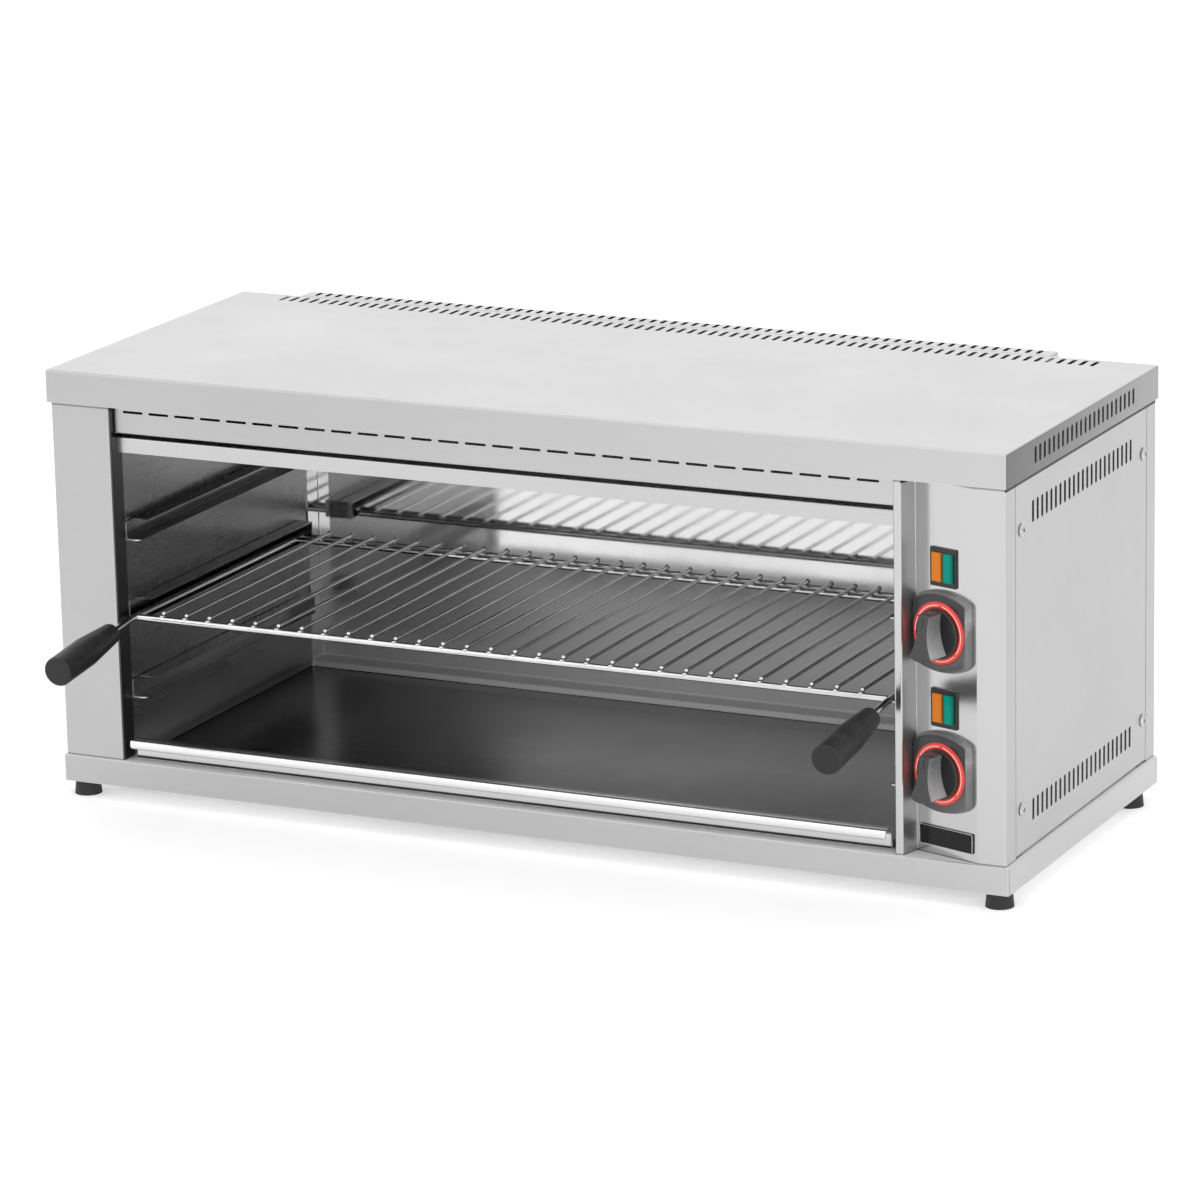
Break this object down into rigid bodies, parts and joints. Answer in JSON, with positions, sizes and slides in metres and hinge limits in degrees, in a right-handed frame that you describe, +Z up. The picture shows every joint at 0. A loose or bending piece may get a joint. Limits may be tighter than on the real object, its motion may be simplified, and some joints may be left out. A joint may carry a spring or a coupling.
{
  "type": "salamander grill",
  "caption": "Free-standing electric salamander grill: wide open chamber with top heat, sliding wire rack with grips, crumb tray and a slanted control panel.",
  "frame": {"origin": "on the floor under the middle of the whole outline, the rack's grips and the rear duct included", "axes": "+X to the right seen from the front, +Y to the rear, +Z up"},
  "size_m": [0.961, 0.5266, 0.414],
  "materials": {
    "brushed_skin": "fine brushed",
    "bright_liner": "bright, mirror-like",
    "screw_steel": "bright",
    "element_sheath": "heat-darkened",
    "hanger_steel": "matt",
    "ceramic": "matt ceramic",
    "rack_wire": "polished",
    "black_grip": "matt",
    "knob_plastic": "satin",
    "bezel_plastic": "satin",
    "red_ring": "printed",
    "frame_plastic": "satin",
    "amber_lens": "clear cap",
    "green_lens": "clear cap",
    "badge_black": "gloss",
    "foot_rubber": "matt"
  },
  "bodies": {
    "cabinet": {"base_pan": "brushed_skin", "lid": "brushed_skin", "left_column": "brushed_skin", "control_panel": "brushed_skin", "rear_corner_left": "brushed_skin", "rear_corner_right": "brushed_skin", "side_panel_left": "brushed_skin", "side_panel_right": "brushed_skin", "fascia": "brushed_skin", "hood": "brushed_skin", "rear_cowl": "bright_liner", "chamber_wall_left": "bright_liner", "chamber_wall_right": "bright_liner", "guide_left_low": "bright_liner", "guide_left_middle": "bright_liner", "guide_left_top": "bright_liner", "guide_right_low": "bright_liner", "guide_right_middle": "bright_liner", "guide_right_top": "bright_liner", "side_screws_left": "screw_steel", "side_screws_right": "screw_steel", "cowl_screws": "screw_steel", "foot_screws": "screw_steel", "element_front": "element_sheath", "element_rear": "element_sheath", "element_hangers": "hanger_steel", "element_bushings": "hanger_steel", "element_terminals": "ceramic", "terminal_block": "ceramic", "bezel_upper": "bezel_plastic", "bezel_lower": "bezel_plastic", "dial_ring_upper": "red_ring", "dial_ring_lower": "red_ring", "pilot_frame_upper": "frame_plastic", "pilot_frame_lower": "frame_plastic", "regulator_upper": "frame_plastic", "regulator_lower": "frame_plastic", "cable_gland": "frame_plastic", "amber_lens_upper": "amber_lens", "amber_lens_lower": "amber_lens", "green_lens_upper": "green_lens", "green_lens_lower": "green_lens", "badge_plate": "badge_black", "foot_front_left": "foot_rubber", "foot_front_right": "foot_rubber", "foot_rear_left": "foot_rubber", "foot_rear_right": "foot_rubber"},
    "rack": {"rack_side_bar_left": "rack_wire", "rack_side_bar_right": "rack_wire", "rack_front_bar": "rack_wire", "rack_rear_bars": "rack_wire", "rack_wires": "rack_wire", "rack_grip_left": "black_grip", "rack_grip_right": "black_grip"},
    "tray": {"tray_pan": "brushed_skin", "tray_lip": "brushed_skin"},
    "upper_dial": {"knob_upper": "knob_plastic", "shaft_upper": "rack_wire"},
    "lower_dial": {"knob_lower": "knob_plastic", "shaft_lower": "rack_wire"}
  },
  "joints": [
    {"name": "rack_slide", "type": "slide", "parent": "cabinet", "child": "rack", "axis": [0, -1, 0], "range_m": [0, 0.28]},
    {"name": "tray_slide", "type": "slide", "parent": "cabinet", "child": "tray", "axis": [0, -1, 0], "range_m": [0, 0.3]},
    {"name": "upper_dial_turn", "type": "hinge", "parent": "cabinet", "child": "upper_dial", "pos_m": [0.41606, -0.1221, 0.247], "axis": [0.284, 0.9588, 0], "range_deg": [0, 300]},
    {"name": "lower_dial_turn", "type": "hinge", "parent": "cabinet", "child": "lower_dial", "pos_m": [0.41606, -0.1221, 0.119], "axis": [0.284, 0.9588, 0], "range_deg": [0, 300]}
  ]
}
